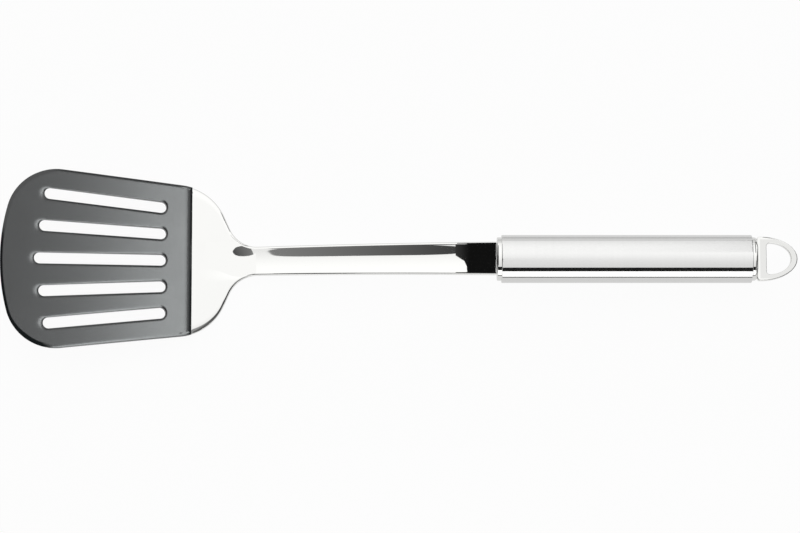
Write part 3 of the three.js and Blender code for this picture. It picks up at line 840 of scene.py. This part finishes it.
class SPATULA_OT_blade(Operator):
    """Add the slotted nylon blade"""

    bl_idname = "spatula.blade"
    bl_label = "Nylon Blade"

    def thickness(self, blade, x):
        """Thickness of the crowned wedge at a distance from its front edge."""
        along = min(max(x / blade.length, 0.0), 1.0)
        gain = blade.root_thickness - blade.tip_thickness
        return blade.tip_thickness + gain * (1 - (1 - along) ** blade.crown)

    def outline(self, blade, form):
        """Outer edge of the blade with its rims: the root, one side, the front, and the other side."""
        shoulder_centre, shoulder_radius = form.shoulder[0], form.shoulder[1]
        side_turn = QUARTER_TURN - blade.side_taper
        root_turn = math.acos((blade.length - blade.root_inset - shoulder_centre.x) / shoulder_radius)
        tangent = math.tan(blade.side_taper)
        offset = blade.front_width / 2 - blade.corner_radius / math.cos(blade.side_taper)
        square = 1 + tangent ** 2
        linear_term = blade.front_radius + offset * tangent
        inside = blade.front_radius - blade.corner_radius
        constant = blade.front_radius ** 2 + offset ** 2 - inside ** 2
        corner_x = (linear_term - math.sqrt(linear_term ** 2 - square * constant)) / square
        corner_y = offset - tangent * corner_x
        front_turn = math.atan2(corner_y, corner_x - blade.front_radius)

        shoulder, corner, front = (
            arc_points(centre, radius, radius, start, end, OUTLINE_STEP)
            for centre, radius, start, end in (
                (shoulder_centre, shoulder_radius, root_turn, side_turn),
                ((corner_x, corner_y), blade.corner_radius, side_turn, front_turn),
                ((blade.front_radius, 0.0), blade.front_radius, front_turn, HALF_TURN),
            )
        )
        side_points = straight_points(shoulder[-1][0], corner[0][0], OUTLINE_STEP)
        side = [(point, corner[0][1]) for point in side_points]

        half = []
        root_point, root_normal = shoulder[0]
        ahead = Vector((1.0, 0.0))
        root_corner = corner_rim(root_normal, blade.side_rim, ahead, blade.root_rim)
        half.append((root_point, root_corner, blade.root_depth, ROOT_BEVEL))
        lip_slope = math.tan(blade.lip_angle) * (1 - RIM_SUPPORT)
        for point, normal in [*shoulder[1:], *side, *corner, *front[1:]]:
            lip = smoothstep(-normal.x, *LIP_FACING)
            middle = smoothstep(-normal.x, *LIP_MIDDLE)
            lip_reach = blade.lip_rim + (blade.lip_front_rim - blade.lip_rim) * middle
            lip_drop = lip_reach * lip_slope * blade.root_thickness / self.thickness(blade, point.x)
            reach = blade.side_rim + (lip_reach - blade.side_rim) * lip
            drop = blade.edge_depth + (lip_drop - blade.edge_depth) * lip
            half.append((point, normal * reach, drop, 1.0 + (LIP_BEVEL - 1.0) * lip))
        other = mirrored_rims(half[:-1])
        root = [
            (point, ahead * blade.root_rim, blade.root_depth, ROOT_BEVEL)
            for point in straight_points(other[-1][0], root_point, OUTLINE_STEP)
        ]
        return [*half, *other, *root]

    def shape_wedge(self, mesh, blade, form):
        """Makes the flat plate a wedge with a crowned top, and tilts it into its place.

        The plate is first cut into strips, so that the crown has points to follow.
        """
        shape = bmesh.new()
        shape.from_mesh(mesh)
        for i in range(1, CROWN_STRIPS):
            everything = [*shape.verts, *shape.edges, *shape.faces]
            bmesh.ops.bisect_plane(
                shape, geom=everything, plane_co=(blade.length * i / CROWN_STRIPS, 0.0, 0.0),
                plane_no=(1.0, 0.0, 0.0),
            )
        front_x, front_z, slope = form.path(0.0)
        underside = -blade.root_thickness / 2
        for vert in shape.verts:
            x, y, z = vert.co
            z = underside + (z - underside) * self.thickness(blade, x) / blade.root_thickness
            vert.co = (
                front_x + x * math.cos(slope) - z * math.sin(slope), y,
                front_z + x * math.sin(slope) + z * math.cos(slope),
            )
        shape.to_mesh(mesh)
        shape.free()

    def execute(self, context):
        scene = context.scene
        blade = scene.spatula_blade
        form = sheet_form(context)
        radius = blade.slot_width / 2
        slot_root = blade.length - blade.slot_root_margin - radius
        outermost = (blade.slot_count - 1) / 2
        pitch = (form.side_half_width(slot_root) - blade.slot_side_margin - radius) / outermost
        nylon = nylon_material(scene.spatula_finish)
        mesh = grown_mesh(
            "nylon_blade",
            rim_wire("nylon_blade_outline", [self.outline(blade, form)]),
            slotted_plate_tree(plate_tree()),
            {
                "Slot Count": blade.slot_count,
                "Slot Points": SLOT_POINTS,
                "Edge Steps": EDGE_STEPS,
                "Slot Radius": radius,
                "Slot Fan": blade.slot_fan,
                "Slot Pitch": pitch,
                "Slot Root": slot_root,
                "Slot Front": blade.slot_front_margin + radius,
                "Slot Front Step": blade.slot_front_step,
                "Slot Rim": blade.slot_rim,
                "Slot Front Rim": blade.slot_front_rim,
                "Slot Root Rim": blade.slot_root_rim,
                "Slot Drop": blade.slot_depth,
                "Point Spacing": SLOT_SPACING,
                "Thickness": blade.root_thickness,
                "Lower Drop": blade.edge_depth,
                "Support": RIM_SUPPORT,
                "Material": nylon,
            },
        )
        self.shape_wedge(mesh, blade, form)
        place_piece("nylon_blade", closed_mesh(mesh), nylon, "slotted_blade")
        return {"FINISHED"}


class SPATULA_OT_shank(Operator):
    """Add the stamped steel shank"""

    bl_idname = "spatula.shank"
    bl_label = "Steel Shank"

    def face(self, half, sheet, drop, reach):
        """Points across one face of the sheet, from edge to edge, with its rounded edges."""
        reach = min(reach, half / 2)
        edge = []
        for i in range(EDGE_STEPS + 1):
            turn = QUARTER_TURN * i / EDGE_STEPS
            edge.append((half - reach * (1 - math.cos(turn)), sheet / 2 - drop * (1 - math.sin(turn))))
        inner = half - reach - EDGE_SUPPORT
        flat = [(inner * (1 - 2 * i / ACROSS_STEPS), sheet / 2) for i in range(ACROSS_STEPS + 1)]
        return [*edge, *flat, *((-y, z) for y, z in reversed(edge))]

    def section(self, half, sheet, shank, reach):
        """Points round a flat section of the sheet."""
        share = sheet / shank.sheet
        upper = self.face(half, sheet, shank.upper_drop * share, reach)
        lower = self.face(half, sheet, shank.lower_drop * share, reach)
        return [*upper, *((-y, -z) for y, z in lower)]

    def stations(self, shank, blade, form):
        """Sections along the sheet: the tongue, the rounded front edge, the shank and the tang."""
        front = blade.length - shank.seat
        edge = shank.front_edge
        tongue_half = form.side_half_width(blade.length) - shank.tongue_wall
        tongue = self.section(tongue_half, shank.sheet - 2 * edge, shank, shank.edge_reach)
        stations = [(blade.length - shank.tongue_reach, tongue), (front, tongue)]
        for i in range(FRONT_STEPS):
            turn = QUARTER_TURN * i / FRONT_STEPS
            inset = edge * (1 - math.sin(turn))
            along = front + edge * (1 - math.cos(turn))
            half = form.half_width(along) - inset
            section = self.section(half, shank.sheet - 2 * inset, shank, shank.bell_edge_reach)
            stations.append((along, section))
        along = front + edge
        while along < form.end:
            cosine = form.outline_cosine(along)
            narrowing = smoothstep(along, blade.length, blade.length + shank.neck_reach)
            reach = shank.bell_edge_reach + (shank.edge_reach - shank.bell_edge_reach) * narrowing
            flat = self.section(form.half_width(along), shank.sheet, shank, reach / cosine)
            stations.append((along, [(y, z + form.channel(along, y)) for y, z in flat]))
            along += STATION_STEP * cosine
        flat = self.section(form.half_width(form.end), shank.sheet, shank, shank.edge_reach)
        end = [(y, z + form.channel(form.end, y)) for y, z in flat]
        tang = self.section(shank.tang_width / 2, shank.sheet, shank, shank.edge_reach)
        return [*stations, (form.end, end), (form.end, tang), (form.end + shank.tang_reach, tang)]

    def execute(self, context):
        scene = context.scene
        form = sheet_form(context)
        stations = self.stations(scene.spatula_shank, scene.spatula_blade, form)
        points, faces = [], []
        for along, section in stations:
            x, z, slope = form.path(along)
            points.extend((x - up * math.sin(slope), y, z + up * math.cos(slope)) for y, up in section)
        ring = len(stations[0][1])
        last = (len(stations) - 1) * ring
        for start in range(0, last, ring):
            for i in range(ring):
                here, following = start + i, start + (i + 1) % ring
                faces.append((here, following, following + ring, here + ring))
        faces.append(tuple(range(ring)))
        faces.append(tuple(range(last, last + ring)))
        mesh = closed_mesh(new_mesh("stamped_shank", points, faces))
        steel = polished_steel_material(scene.spatula_finish)
        place_piece("stamped_shank", mesh, steel, "steel_shank")
        return {"FINISHED"}


class SPATULA_OT_handle(Operator):
    """Add the handle tube and the caps in its ends"""

    bl_idname = "spatula.handle"
    bl_label = "Handle Tube and Caps"

    def tube_profile(self, handle):
        outer = handle.tube_diameter / 2
        inner = outer - handle.tube_wall
        lip = handle.tube_lip
        end = handle.tube_length
        first = 2 * lip
        body = [(first + (end - 2 * first) * i / TUBE_STEPS, outer) for i in range(TUBE_STEPS + 1)]
        return [
            *rounded_corner(lip, inner + lip, lip, -QUARTER_TURN)[::-1],
            *rounded_corner(lip, outer - lip, lip, QUARTER_TURN)[::-1],
            *body,
            *rounded_corner(end - lip, outer - lip, lip, 0.0)[::-1],
            *rounded_corner(end - lip, inner + lip, lip, -QUARTER_TURN)[::-1],
        ]

    def cap_profile(self, handle, reach, edge):
        radius = handle.cap_diameter / 2
        depth = reach + handle.cap_skirt
        wall = handle.cap_wall
        return [
            (0.0, 0.0),
            (0.0, radius - edge - CAP_SUPPORT),
            *rounded_corner(edge, radius - edge, edge, QUARTER_TURN)[::-1],
            (edge + CAP_SUPPORT, radius),
            (depth, radius),
            (depth, radius - wall),
            (wall, radius - wall),
            (wall, 0.0),
        ]

    def execute(self, context):
        scene = context.scene
        handle = scene.spatula_handle
        finish = scene.spatula_finish
        axis_z = handle.tube_diameter / 2
        steel = polished_steel_material(finish)
        tube_x = CAP_FACE_X + handle.front_reach
        rear_x = tube_x + handle.tube_length + handle.rear_reach
        satin = satin_steel_material(finish)
        tube = turned_mesh("satin_tube", self.tube_profile(handle), tube_x, axis_z)
        place_piece("satin_tube", tube, satin, "handle_tube")
        for name, node, face_x, reach, edge, side in (
            ("front_end_cap", "front_cap", CAP_FACE_X, handle.front_reach, handle.front_cap_edge, 1),
            ("rear_end_cap", "rear_cap", rear_x, handle.rear_reach, handle.rear_cap_edge, -1),
        ):
            profile = [(along * side, radius) for along, radius in self.cap_profile(handle, reach, edge)]
            cap = turned_mesh(name, profile, face_x, axis_z)
            place_piece(name, cap, steel, node)
        return {"FINISHED"}


class SPATULA_OT_loop(Operator):
    """Add the hanging loop"""

    bl_idname = "spatula.loop"
    bl_label = "Hanging Loop"

    def ring(self, start, corner, across, nose_start, nose, side):
        """One outline of the loop: two base corners and a rounded nose, with normals turned by the side."""
        base = start + corner
        points = []
        for centre, radius_x, radius_y, first, last in (
            ((base, corner - across), corner, corner, HALF_TURN, 3 * QUARTER_TURN),
            ((nose_start, 0.0), nose, across, -QUARTER_TURN, QUARTER_TURN),
            ((base, across - corner), corner, corner, QUARTER_TURN, HALF_TURN),
        ):
            points.extend(arc_points(centre, radius_x, radius_y, first, last, LOOP_STEP))
        return [(point, normal * side) for point, normal in points]

    def execute(self, context):
        scene = context.scene
        handle = scene.spatula_handle
        half = handle.loop_width / 2
        hole_start = handle.loop_bar + handle.loop_corner
        hole_nose = handle.loop_length - handle.loop_rim - hole_start
        outer = self.ring(
            0.0, handle.loop_corner, half, handle.loop_length - handle.loop_nose, handle.loop_nose, 1
        )
        hole = self.ring(
            handle.loop_bar, handle.loop_corner, half - handle.loop_rim, hole_start, hole_nose, -1
        )
        edge = handle.loop_edge
        drop = handle.loop_drop
        loops = [[(point, normal * edge, drop, 1.0) for point, normal in ring] for ring in (outer, hole)]
        tenon_half = handle.tenon_width / 2
        behind, above = Vector((-1.0, 0.0)), Vector((0.0, 1.0))
        corner = corner_rim(behind, edge, above, edge)
        base = Vector((0.0, tenon_half))
        tail = Vector((-handle.tenon_reach, tenon_half))
        inner_corner = Vector((-edge, edge))
        tenon = [(base, inner_corner, drop, 1.0), (tail, corner, drop, 1.0)]
        tenon += mirrored_rims(tenon)
        loops[0].extend(tenon)
        cap_end = CAP_FACE_X + handle.front_reach + handle.tube_length + handle.rear_reach
        steel = polished_steel_material(scene.spatula_finish)
        mesh = grown_mesh(
            "loop_plate",
            rim_wire("loop_plate_outline", loops),
            loop_tree(plate_tree()),
            {
                "Thickness": handle.loop_thickness,
                "Lower Drop": drop,
                "Support": RIM_SUPPORT,
                "Edge Steps": EDGE_STEPS,
                "Place": (cap_end + handle.seat_gap, 0.0, handle.tube_diameter / 2),
                "Material": steel,
            },
        )
        place_piece("loop_plate", closed_mesh(mesh), steel, "hanging_loop")
        return {"FINISHED"}


# Stage

CAMERA_ELEVATION = math.radians(82.7)
CAMERA_DISTANCE = 1.3
CAMERA_FOCAL = 140.0
CAMERA_SENSOR = 36.0
CAMERA_REACH = 20.0
CAMERA_AIM = Vector((0.0003, -0.00246, 0.0047))

# Panels of the light tent, in degrees from straight up: the middle and half width towards +X, the middle
# and half width towards +Y, the soft share of the edge, and the brightness at the -X and +X ends
TENT_LEVEL = 0.88
TENT_ROUNDNESS = 4.0
TENT_PANELS = {
    "overhead bank": (0, 90, 38, 45, 0.9, 1.22, 1.22),
    "back curtain": (11.2, 3.3, 62, 38, 0.05, 0.01, 0.01),
    "left curtain": (-53, 28.5, -25, 50, 0.05, 0.03, 0.03),
    "front left curtain": (-31, 19, -37, 14, 0.05, 0.03, 0.03),
    "front lamp": (25, 50, -80, 12, 0.05, 1.6, 1.6),
    "front gap": (0, 80, -59.1, 10.2, 0.05, 0.012, 0.012),
    "front curtain": (26, 14, -52, 37, 0.05, 0.32, 0.32),
    "right curtain": (58, 30, -35, 50, 0.05, 0.12, 0.12),
    "right wall": (66, 22, 0, 80, 0.05, 0.06, 0.06),
    "camera slit": (-11.7, 9.9, -12.5, 11.6, 0.015, 0.24, 0.05),
}

# Share of plain white in the table, and how bright that white is in reflections
FLOOR_WHITE = 0.95
FLOOR_REFLECTED = 0.8

# Half the side of the table in millimetres
FLOOR_HALF = 3000

# Tint of the softboxes, which are a little cooler than the tent
SOFTBOX_TINT = (0.955, 1.0, 1.005)

# Softboxes: degrees from straight up towards +X and +Y, height above the blade, width, height, brightness
SOFTBOXES = {
    "side_softbox": (17.5, -14.5, 1.3, 0.224, 1.44, 7.1),
    "front_softbox": (20, -62, 0.5, 0.55, 1.2, 4.6),
}


def rectangle(low_x, low_y, high_x, high_y):
    return (low_x, low_y), (high_x, low_y), (high_x, high_y), (low_x, high_y)


def bend(start, start_handle, end_handle, end):
    """Points of a smooth bend between two corners, led by its handles."""
    return interpolate_bezier(*map(Vector, (start, start_handle, end_handle, end)), BEND_POINTS)


# Notch of the card over the neck, in millimetres: its lower edge to the nose, and its upper edge back
NECK_NOTCH = (
    *bend((-63, 1.7), (-69.5, 1.3), (-70.1, 2.5), (-70.5, 3))[:-1],
    *bend((-70.5, 3), (-70.2, 4), (-67.1, 4), (-63, 3.1)),
)

# Cards: their brightness, their height and their corners in millimetres
CARDS = {
    "shank_flag": (
        0.006, 30,
        (
            (22.4, -14), (40.8, -14), (40.8, 40), (23, 40), (23, 12), (27.8, 8.5), (27.6, 5.4), (26.5, 3.3),
            (22.6, 1.3),
        ),
    ),
    "neck_card": (1.14, 10, ((-80, -2), (-63, -2), *NECK_NOTCH, (-63, 9), (-80, 9))),
    "loop_card": (0.97, 17, rectangle(150.7, -7.6, 168.5, 8.8)),
    # Painted shadow: a dark strip on the table in front that stands in for the part's shade on the floor,
    # seen only in reflections
    "front_strip": (0.15, 0.5, rectangle(-60, -76, 220, -51)),
    # Painted shadow: a dark strip on the table behind that stands in for the tube's shade on the floor,
    # seen only in reflections
    "back_strip": (0.3, 0.5, rectangle(-60, 37, 220, 45)),
    "white_board": (1.4, 0.4, rectangle(-60, -600, 400, -78)),
    "rear_board": (0.05, 0.4, rectangle(172, -300, 700, 300)),
    "black_board": (
        0.01, 0.4,
        (
            (-600, -500), (-135, -500), (-135, -43), (-158, -34), (-170, 0), (-158, 36), (-150, 60),
            (-600, 300),
        ),
    ),
}

# Cards that fade along X: where the fade starts and ends in millimetres, and the brightness at its start
CARD_FADES = {"shank_flag": (20.5, 29.5, 0.045)}


class SPATULA_OT_stage(Operator):
    """Add the table, the light tent, the cards and the camera"""

    bl_idname = "spatula.stage"
    bl_label = "Stage"

    def panel_cover(self, tree, to_x, to_y, panel):
        """How much of a direction a panel covers: a rectangle with rounded corners and soft edges."""
        middle_x, half_x, middle_y, half_y, soft = panel[:5]
        measure = 0.0
        for turn, middle, half in ((to_x, middle_x, half_x), (to_y, middle_y, half_y)):
            away = add_node(tree, "ShaderNodeMath", [turn, math.radians(middle)], operation="SUBTRACT")
            away = add_node(tree, "ShaderNodeMath", [away], operation="ABSOLUTE")
            share = add_node(tree, "ShaderNodeMath", [away, math.radians(half)], operation="DIVIDE")
            power = add_node(tree, "ShaderNodeMath", [share, TENT_ROUNDNESS], operation="POWER")
            measure = add_node(tree, "ShaderNodeMath", [measure, power], operation="ADD")
        reach = add_node(tree, "ShaderNodeMath", [measure, 1 / TENT_ROUNDNESS], operation="POWER")
        return add_node(
            tree, "ShaderNodeMapRange", {"Value": reach, "From Min": 1 + soft, "From Max": 1 - soft},
            interpolation_type="SMOOTHSTEP",
        )

    def tent(self, scene):
        """White tent with lamps and dark openings, seen in reflections; the camera sees plain white."""
        world = bpy.data.worlds.new("light tent")
        world.use_nodes = True
        scene.world = world
        tree = world.node_tree
        tree.nodes.clear()
        direction = add_node(tree, "ShaderNodeTexCoord").outputs["Generated"]
        x, y, z = add_node(tree, "ShaderNodeSeparateXYZ", [direction]).outputs
        to_x = add_node(tree, "ShaderNodeMath", [x], operation="ARCSINE")
        to_y = add_node(tree, "ShaderNodeMath", [y, z], operation="ARCTAN2")
        level = TENT_LEVEL
        for panel in TENT_PANELS.values():
            middle_x, half_x = panel[:2]
            brightness = add_node(
                tree, "ShaderNodeMapRange",
                {
                    "Value": to_x, "From Min": math.radians(middle_x - half_x),
                    "From Max": math.radians(middle_x + half_x), "To Min": panel[5], "To Max": panel[6],
                },
            )
            cover = self.panel_cover(tree, to_x, to_y, panel)
            level = add_node(
                tree, "ShaderNodeMix", {"Factor": cover, "A": level, "B": brightness}, data_type="FLOAT"
            )
        seen = add_node(tree, "ShaderNodeLightPath").outputs["Is Camera Ray"]
        shown = add_node(tree, "ShaderNodeMix", {"Factor": seen, "A": level, "B": 1.0}, data_type="FLOAT")
        light = add_node(tree, "ShaderNodeBackground", {"Color": (1.0, 1.0, 1.0, 1.0), "Strength": shown})
        add_node(tree, "ShaderNodeOutputWorld", {"Surface": light})

    def card(self, scene, name, corners, height, material):
        """Flat card, from its corners and its height in millimetres."""
        points = [Vector((x, y, height)) * MM for x, y in corners]
        mesh = new_mesh(name, points, [tuple(range(len(points)))])
        mesh.materials.append(material)
        card = bpy.data.objects.new(name, mesh)
        scene.collection.objects.link(card)
        return card

    def floor(self, scene):
        """White laminate table, shown close to white with a faint shadow of the part."""
        material, tree = new_material("white laminate")
        laminate = add_node(
            tree, "ShaderNodeBsdfPrincipled",
            {"Base Color": scene.spatula_finish.floor[:], "Roughness": 0.7, "Specular IOR Level": 0.2},
        )
        path = add_node(tree, "ShaderNodeLightPath").outputs
        brightness = add_node(
            tree, "ShaderNodeMapRange",
            {"Value": path["Is Camera Ray"], "To Min": FLOOR_REFLECTED, "To Max": 1.0},
        )
        white = add_node(tree, "ShaderNodeEmission", {"Strength": brightness})
        seen = add_node(
            tree, "ShaderNodeMath", [path["Is Camera Ray"], path["Is Glossy Ray"]], operation="MAXIMUM"
        )
        seen = add_node(tree, "ShaderNodeMath", [seen, path["Is Transmission Ray"]], operation="MAXIMUM")
        share = add_node(tree, "ShaderNodeMath", [seen, FLOOR_WHITE], operation="MULTIPLY")
        mixed = add_node(tree, "ShaderNodeMixShader", [share, laminate, white])
        add_node(tree, "ShaderNodeOutputMaterial", {"Surface": mixed})
        corners = rectangle(-FLOOR_HALF, -FLOOR_HALF, FLOOR_HALF, FLOOR_HALF)
        self.card(scene, "table", corners, 0, material)

    def cards(self, scene):
        """Black and white cards that show only in reflections.

        They lie over the neck, the end of the shank and the loop, and on the table round the part. The two
        dark strips beside the handle are painted shadow: the part's shade on the floor, as the steel
        reflects it.
        """
        for name, (brightness, height, corners) in CARDS.items():
            material, tree = new_material(name.replace("_", " "))
            if name in CARD_FADES:
                start, end, first = CARD_FADES[name]
                place = add_node(tree, "ShaderNodeTexCoord").outputs["Object"]
                x = add_node(tree, "ShaderNodeSeparateXYZ", [place]).outputs["X"]
                brightness = add_node(
                    tree, "ShaderNodeMapRange",
                    {
                        "Value": x, "From Min": start * MM, "From Max": end * MM,
                        "To Min": first, "To Max": brightness,
                    },
                    interpolation_type="SMOOTHSTEP",
                )
            glow = add_node(tree, "ShaderNodeEmission", {"Strength": brightness})
            add_node(tree, "ShaderNodeOutputMaterial", {"Surface": glow})
            card = self.card(scene, name, corners, height, material)
            card.visible_camera = False
            card.visible_shadow = False
            card.visible_diffuse = False

    def softboxes(self, scene):
        """Softboxes that light only the nylon, to keep their glare off the steel."""
        blade = scene.objects["nylon_blade"]
        lit = bpy.data.collections.new("lit by softboxes")
        lit.objects.link(blade)
        corners = [Vector(corner) for corner in blade.bound_box]
        middle = sum(corners, Vector()) / len(corners)
        for name, (to_x, to_y, lift, width, height, brightness) in SOFTBOXES.items():
            lamp = bpy.data.lights.new(name, "AREA")
            lamp.shape = "RECTANGLE"
            lamp.size = width
            lamp.size_y = height
            # A lamp's power spreads over its area and the half sphere in front of it
            lamp.energy = brightness * math.pi * width * height
            lamp.color = SOFTBOX_TINT
            box = bpy.data.objects.new(name, lamp)
            scene.collection.objects.link(box)
            towards = Vector((math.tan(math.radians(to_x)), math.tan(math.radians(to_y)), 1.0))
            box.location = middle + towards * lift
            back = towards.normalized()
            across = Vector((0.0, 1.0, 0.0)).cross(back).normalized()
            box.rotation_euler = Matrix((across, back.cross(across), back)).transposed().to_euler()
            box.visible_camera = False
            box.light_linking.receiver_collection = lit

    def camera(self, scene):
        view = bpy.data.cameras.new("camera")
        view.lens = CAMERA_FOCAL
        view.sensor_width = CAMERA_SENSOR
        view.clip_end = CAMERA_REACH
        camera = bpy.data.objects.new("camera", view)
        scene.collection.objects.link(camera)
        back = Vector((0.0, -math.cos(CAMERA_ELEVATION), math.sin(CAMERA_ELEVATION)))
        camera.location = CAMERA_AIM + back * CAMERA_DISTANCE
        camera.rotation_euler = back.to_track_quat("Z", "Y").to_euler()
        scene.camera = camera

    def execute(self, context):
        scene = context.scene
        scene.view_settings.view_transform = "Standard"
        self.tent(scene)
        self.floor(scene)
        self.cards(scene)
        self.softboxes(scene)
        self.camera(scene)
        return {"FINISHED"}


class SPATULA_PT_panel(Panel):
    """Lists the pieces of the spatula and their sizes"""

    bl_idname = "SPATULA_PT_panel"
    bl_label = "Slotted Spatula"
    bl_space_type = "VIEW_3D"
    bl_region_type = "UI"
    bl_category = "Spatula"

    def draw(self, context):
        for operator in OPERATORS:
            self.layout.operator(operator.bl_idname)
        for name, group in GROUPS.items():
            settings = getattr(context.scene, name)
            box = self.layout.box()
            box.label(text=group.__doc__)
            for field in group.__annotations__:
                box.prop(settings, field)


OPERATORS = (SPATULA_OT_blade, SPATULA_OT_shank, SPATULA_OT_handle, SPATULA_OT_loop, SPATULA_OT_stage)
GROUPS = {
    "spatula_blade": BladeSizes,
    "spatula_shank": ShankSizes,
    "spatula_handle": HandleSizes,
    "spatula_finish": FinishColours,
}
CLASSES = (*GROUPS.values(), *OPERATORS, SPATULA_PT_panel)


def register():
    for item in CLASSES:
        bpy.utils.register_class(item)
    for name, group in GROUPS.items():
        setattr(bpy.types.Scene, name, PointerProperty(type=group))


def unregister():
    for name in GROUPS:
        delattr(bpy.types.Scene, name)
    for item in reversed(CLASSES):
        bpy.utils.unregister_class(item)


def main():
    register()
    bpy.ops.spatula.blade()
    bpy.ops.spatula.shank()
    bpy.ops.spatula.handle()
    bpy.ops.spatula.loop()
    bpy.ops.spatula.stage()


if __name__ == "__main__":
    main()
